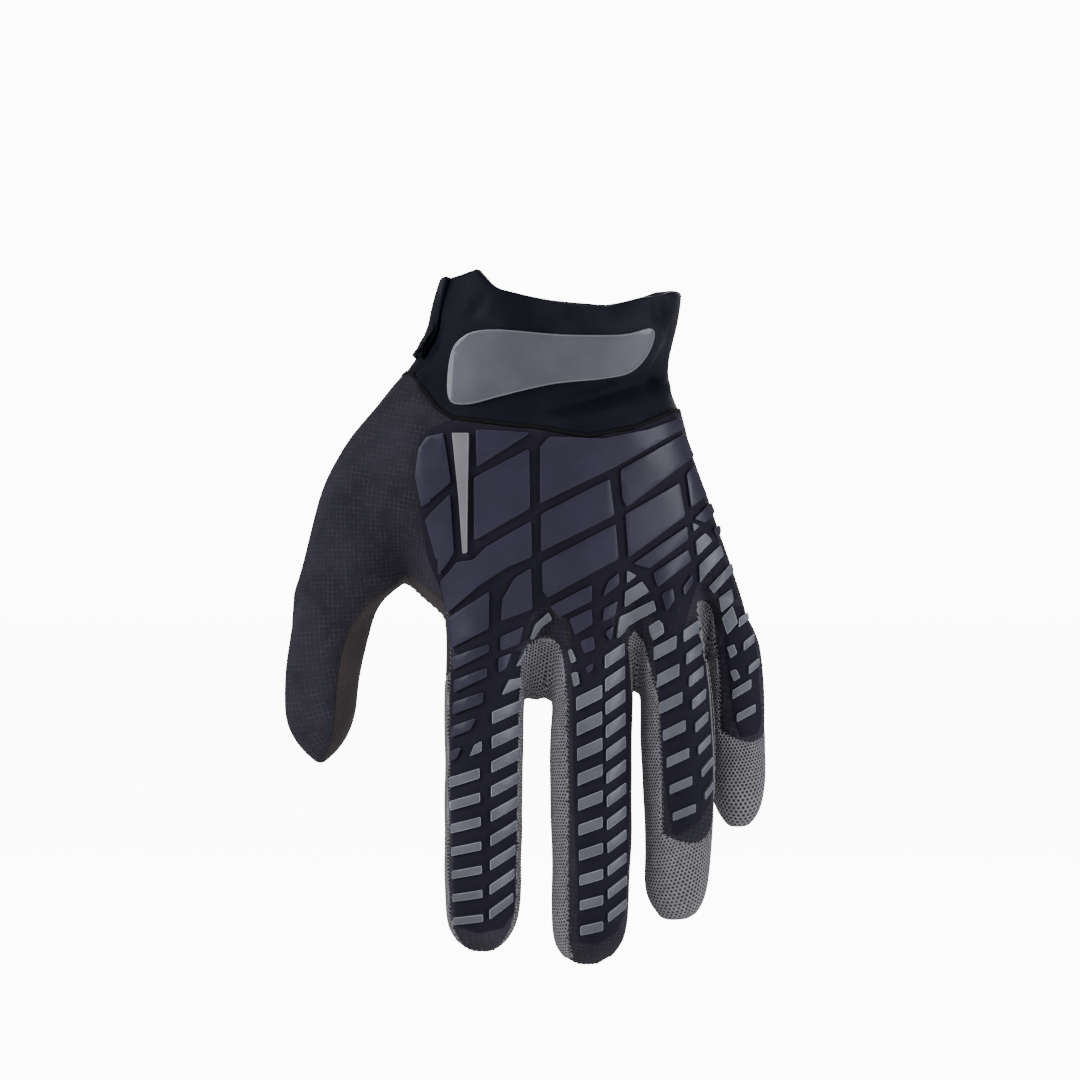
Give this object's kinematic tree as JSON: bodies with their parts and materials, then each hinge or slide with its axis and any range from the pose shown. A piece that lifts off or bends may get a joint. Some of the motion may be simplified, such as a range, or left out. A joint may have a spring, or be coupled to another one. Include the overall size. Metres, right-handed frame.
{
  "type": "motocross glove, left hand, shown worn",
  "caption": "Left motocross glove held in the shape of a hand, with a neoprene cuff, mesh gussets, and moulded blocks and bars on the back.",
  "frame": {"origin": "middle of the wrist, where the hand that wears the glove holds it up", "axes": "+Z along the arm out of the cuff, -Z towards the fingertips, -Y out of the back of the hand, -X towards the thumb"},
  "size_m": [0.1555, 0.0472, 0.2221],
  "materials": {
    "woven_fabric": "fine ripstop weave, matt",
    "synthetic_leather": "suede-like, matt",
    "open_mesh": "open stretch mesh, matt",
    "neoprene": "smooth knit-faced foam",
    "moulded_rubber": "satin",
    "grey_rubber": "semi-gloss"
  },
  "bodies": {
    "root": {"back_panel": "woven_fabric", "thumb_back_panel": "woven_fabric", "palm_panel": "synthetic_leather", "thumb_palm_panel": "synthetic_leather", "index_outer_gusset": "open_mesh", "index_middle_gusset": "open_mesh", "middle_ring_gusset": "open_mesh", "ring_pinky_gusset": "open_mesh", "cuff": "neoprene", "cuff_flap": "neoprene", "cuff_plate": "grey_rubber", "back_rib": "grey_rubber", "hand_guard": "moulded_rubber", "index_tread": "moulded_rubber", "middle_tread": "moulded_rubber", "ring_tread": "moulded_rubber", "pinky_tread": "moulded_rubber"}
  },
  "joints": []
}
